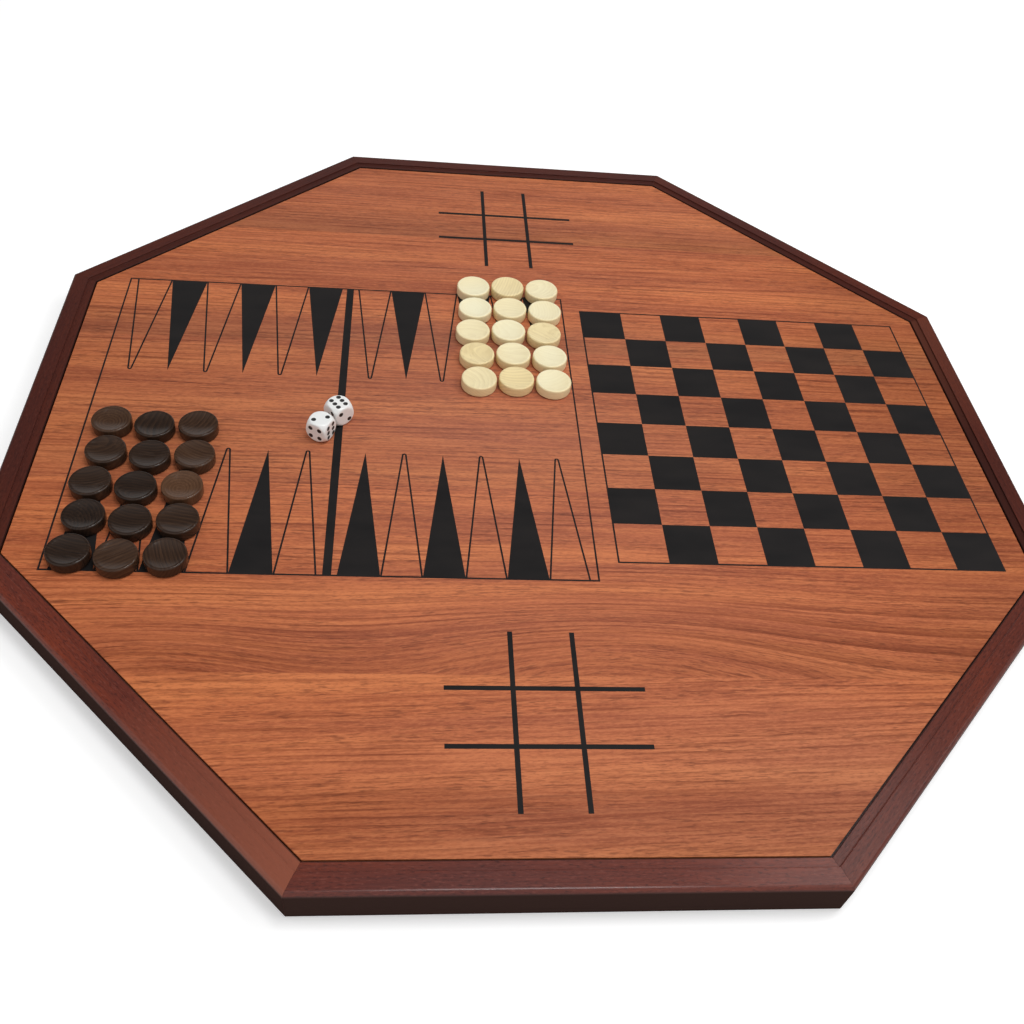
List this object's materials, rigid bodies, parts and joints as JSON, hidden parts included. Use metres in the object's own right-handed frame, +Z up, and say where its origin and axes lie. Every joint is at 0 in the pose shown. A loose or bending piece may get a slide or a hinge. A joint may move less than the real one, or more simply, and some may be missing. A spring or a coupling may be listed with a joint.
{
  "type": "crokinole board",
  "caption": "Octagonal reversible crokinole board lying games side up, with backgammon, checkers and tic-tac-toe printed on a laminated panel in mitred rails, and loose men and dice.",
  "frame": {"origin": "on the table, under the middle of the board", "axes": "+X right and +Y away from the player who sits at the near rail, +Z up out of the games side"},
  "size_m": [0.717, 0.717, 0.0406],
  "materials": {
    "rail_stain": "dark mahogany stain under satin lacquer",
    "panel_laminate": "printed cherry grain laminate, satin",
    "field_wood": "varnished plywood, satin gloss",
    "peg_sleeve": "soft rubber sleeve, matte",
    "key_wood": "bare plywood",
    "light_wood": "pale turned wood, satin lacquer",
    "dark_wood": "dark stained turned wood, satin lacquer",
    "dice_plastic": "polished white with black pips"
  },
  "bodies": {
    "board": {"rail_right": "rail_stain", "rail_far_right": "rail_stain", "rail_far": "rail_stain", "rail_far_left": "rail_stain", "rail_left": "rail_stain", "rail_near_left": "rail_stain", "rail_near": "rail_stain", "rail_near_right": "rail_stain", "games_panel": "panel_laminate", "playing_field": "field_wood", "peg_1": "peg_sleeve", "peg_2": "peg_sleeve", "peg_3": "peg_sleeve", "peg_4": "peg_sleeve", "peg_5": "peg_sleeve", "peg_6": "peg_sleeve", "peg_7": "peg_sleeve", "peg_8": "peg_sleeve", "corner_key_1": "key_wood", "corner_key_2": "key_wood", "corner_key_3": "key_wood", "corner_key_4": "key_wood", "corner_key_5": "key_wood", "corner_key_6": "key_wood", "corner_key_7": "key_wood", "corner_key_8": "key_wood"},
    "light_checker_01": {"light_checker_01": "light_wood"},
    "light_checker_02": {"light_checker_02": "light_wood"},
    "light_checker_03": {"light_checker_03": "light_wood"},
    "light_checker_04": {"light_checker_04": "light_wood"},
    "light_checker_05": {"light_checker_05": "light_wood"},
    "light_checker_06": {"light_checker_06": "light_wood"},
    "light_checker_07": {"light_checker_07": "light_wood"},
    "light_checker_08": {"light_checker_08": "light_wood"},
    "light_checker_09": {"light_checker_09": "light_wood"},
    "light_checker_10": {"light_checker_10": "light_wood"},
    "light_checker_11": {"light_checker_11": "light_wood"},
    "light_checker_12": {"light_checker_12": "light_wood"},
    "light_checker_13": {"light_checker_13": "light_wood"},
    "light_checker_14": {"light_checker_14": "light_wood"},
    "light_checker_15": {"light_checker_15": "light_wood"},
    "dark_checker_01": {"dark_checker_01": "dark_wood"},
    "dark_checker_02": {"dark_checker_02": "dark_wood"},
    "dark_checker_03": {"dark_checker_03": "dark_wood"},
    "dark_checker_04": {"dark_checker_04": "dark_wood"},
    "dark_checker_05": {"dark_checker_05": "dark_wood"},
    "dark_checker_06": {"dark_checker_06": "dark_wood"},
    "dark_checker_07": {"dark_checker_07": "dark_wood"},
    "dark_checker_08": {"dark_checker_08": "dark_wood"},
    "dark_checker_09": {"dark_checker_09": "dark_wood"},
    "dark_checker_10": {"dark_checker_10": "dark_wood"},
    "dark_checker_11": {"dark_checker_11": "dark_wood"},
    "dark_checker_12": {"dark_checker_12": "dark_wood"},
    "dark_checker_13": {"dark_checker_13": "dark_wood"},
    "dark_checker_14": {"dark_checker_14": "dark_wood"},
    "dark_checker_15": {"dark_checker_15": "dark_wood"},
    "die_front": {"die_front": "dice_plastic"},
    "die_back": {"die_back": "dice_plastic"}
  },
  "joints": [
    {"name": "light_checker_01_lift", "type": "slide", "parent": "board", "child": "light_checker_01", "axis": [0, 0, 1], "range_m": [0, 0.05]},
    {"name": "light_checker_02_lift", "type": "slide", "parent": "board", "child": "light_checker_02", "axis": [0, 0, 1], "range_m": [0, 0.05]},
    {"name": "light_checker_03_lift", "type": "slide", "parent": "board", "child": "light_checker_03", "axis": [0, 0, 1], "range_m": [0, 0.05]},
    {"name": "light_checker_04_lift", "type": "slide", "parent": "board", "child": "light_checker_04", "axis": [0, 0, 1], "range_m": [0, 0.05]},
    {"name": "light_checker_05_lift", "type": "slide", "parent": "board", "child": "light_checker_05", "axis": [0, 0, 1], "range_m": [0, 0.05]},
    {"name": "light_checker_06_lift", "type": "slide", "parent": "board", "child": "light_checker_06", "axis": [0, 0, 1], "range_m": [0, 0.05]},
    {"name": "light_checker_07_lift", "type": "slide", "parent": "board", "child": "light_checker_07", "axis": [0, 0, 1], "range_m": [0, 0.05]},
    {"name": "light_checker_08_lift", "type": "slide", "parent": "board", "child": "light_checker_08", "axis": [0, 0, 1], "range_m": [0, 0.05]},
    {"name": "light_checker_09_lift", "type": "slide", "parent": "board", "child": "light_checker_09", "axis": [0, 0, 1], "range_m": [0, 0.05]},
    {"name": "light_checker_10_lift", "type": "slide", "parent": "board", "child": "light_checker_10", "axis": [0, 0, 1], "range_m": [0, 0.05]},
    {"name": "light_checker_11_lift", "type": "slide", "parent": "board", "child": "light_checker_11", "axis": [0, 0, 1], "range_m": [0, 0.05]},
    {"name": "light_checker_12_lift", "type": "slide", "parent": "board", "child": "light_checker_12", "axis": [0, 0, 1], "range_m": [0, 0.05]},
    {"name": "light_checker_13_lift", "type": "slide", "parent": "board", "child": "light_checker_13", "axis": [0, 0, 1], "range_m": [0, 0.05]},
    {"name": "light_checker_14_lift", "type": "slide", "parent": "board", "child": "light_checker_14", "axis": [0, 0, 1], "range_m": [0, 0.05]},
    {"name": "light_checker_15_lift", "type": "slide", "parent": "board", "child": "light_checker_15", "axis": [0, 0, 1], "range_m": [0, 0.05]},
    {"name": "dark_checker_01_lift", "type": "slide", "parent": "board", "child": "dark_checker_01", "axis": [0, 0, 1], "range_m": [0, 0.05]},
    {"name": "dark_checker_02_lift", "type": "slide", "parent": "board", "child": "dark_checker_02", "axis": [0, 0, 1], "range_m": [0, 0.05]},
    {"name": "dark_checker_03_lift", "type": "slide", "parent": "board", "child": "dark_checker_03", "axis": [0, 0, 1], "range_m": [0, 0.05]},
    {"name": "dark_checker_04_lift", "type": "slide", "parent": "board", "child": "dark_checker_04", "axis": [0, 0, 1], "range_m": [0, 0.05]},
    {"name": "dark_checker_05_lift", "type": "slide", "parent": "board", "child": "dark_checker_05", "axis": [0, 0, 1], "range_m": [0, 0.05]},
    {"name": "dark_checker_06_lift", "type": "slide", "parent": "board", "child": "dark_checker_06", "axis": [0, 0, 1], "range_m": [0, 0.05]},
    {"name": "dark_checker_07_lift", "type": "slide", "parent": "board", "child": "dark_checker_07", "axis": [0, 0, 1], "range_m": [0, 0.05]},
    {"name": "dark_checker_08_lift", "type": "slide", "parent": "board", "child": "dark_checker_08", "axis": [0, 0, 1], "range_m": [0, 0.05]},
    {"name": "dark_checker_09_lift", "type": "slide", "parent": "board", "child": "dark_checker_09", "axis": [0, 0, 1], "range_m": [0, 0.05]},
    {"name": "dark_checker_10_lift", "type": "slide", "parent": "board", "child": "dark_checker_10", "axis": [0, 0, 1], "range_m": [0, 0.05]},
    {"name": "dark_checker_11_lift", "type": "slide", "parent": "board", "child": "dark_checker_11", "axis": [0, 0, 1], "range_m": [0, 0.05]},
    {"name": "dark_checker_12_lift", "type": "slide", "parent": "board", "child": "dark_checker_12", "axis": [0, 0, 1], "range_m": [0, 0.05]},
    {"name": "dark_checker_13_lift", "type": "slide", "parent": "board", "child": "dark_checker_13", "axis": [0, 0, 1], "range_m": [0, 0.05]},
    {"name": "dark_checker_14_lift", "type": "slide", "parent": "board", "child": "dark_checker_14", "axis": [0, 0, 1], "range_m": [0, 0.05]},
    {"name": "dark_checker_15_lift", "type": "slide", "parent": "board", "child": "dark_checker_15", "axis": [0, 0, 1], "range_m": [0, 0.05]},
    {"name": "die_front_lift", "type": "slide", "parent": "board", "child": "die_front", "axis": [0, 0, 1], "range_m": [0, 0.05]},
    {"name": "die_back_lift", "type": "slide", "parent": "board", "child": "die_back", "axis": [0, 0, 1], "range_m": [0, 0.05]}
  ]
}
